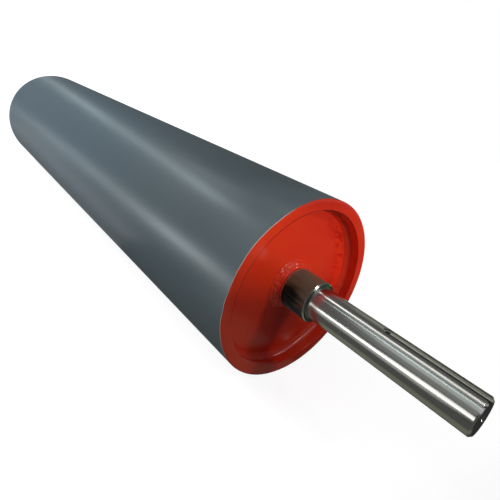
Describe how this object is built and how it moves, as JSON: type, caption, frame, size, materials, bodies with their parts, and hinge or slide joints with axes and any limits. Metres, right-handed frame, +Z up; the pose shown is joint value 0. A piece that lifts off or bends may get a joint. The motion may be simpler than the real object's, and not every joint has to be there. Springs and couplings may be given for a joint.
{
  "type": "conveyor pulley drum",
  "caption": "Rubber-covered conveyor drive drum: a long smooth roller with recessed painted end discs and a stepped shaft, keyed at one end.",
  "frame": {"origin": "middle of the belt face, on the drum's axis", "axes": "+Y along the axis from the keyed drive end to the idle end, +Z up through the middle of the keyway"},
  "size_m": [0.3199, 1.775, 0.32],
  "materials": {
    "cover_rubber": "smooth satin ground rubber",
    "bond_rubber": "matt hard rubber",
    "painted_shell": "gloss orange-red enamel on the edges and bore ends, bare inside",
    "painted_disc": "gloss orange-red enamel",
    "painted_weld": "gloss orange-red enamel over a weld bead",
    "bare_plate": "bare rolled plate",
    "bare_weld": "bare weld metal",
    "shaft_steel": "ground bright journals, dark oiled boss",
    "plug_steel": "zinc plated",
    "ring_copper": "soft copper"
  },
  "bodies": {
    "root": {"rubber_cover": "cover_rubber", "bonding_layer": "bond_rubber", "shell": "painted_shell", "seam_weld": "bare_weld", "drive_end_disc": "painted_disc", "idle_end_disc": "painted_disc", "drive_rim_weld": "painted_weld", "idle_rim_weld": "painted_weld", "drive_hub_weld": "painted_weld", "idle_hub_weld": "painted_weld", "drive_inner_weld": "bare_weld", "idle_inner_weld": "bare_weld", "drive_stiffener": "bare_plate", "idle_stiffener": "bare_plate", "drive_stiffener_welds": "bare_weld", "idle_stiffener_welds": "bare_weld", "drive_plug_welds": "bare_weld", "idle_plug_welds": "bare_weld", "shaft": "shaft_steel", "vent_plug": "plug_steel", "vent_ring": "ring_copper"}
  },
  "joints": []
}
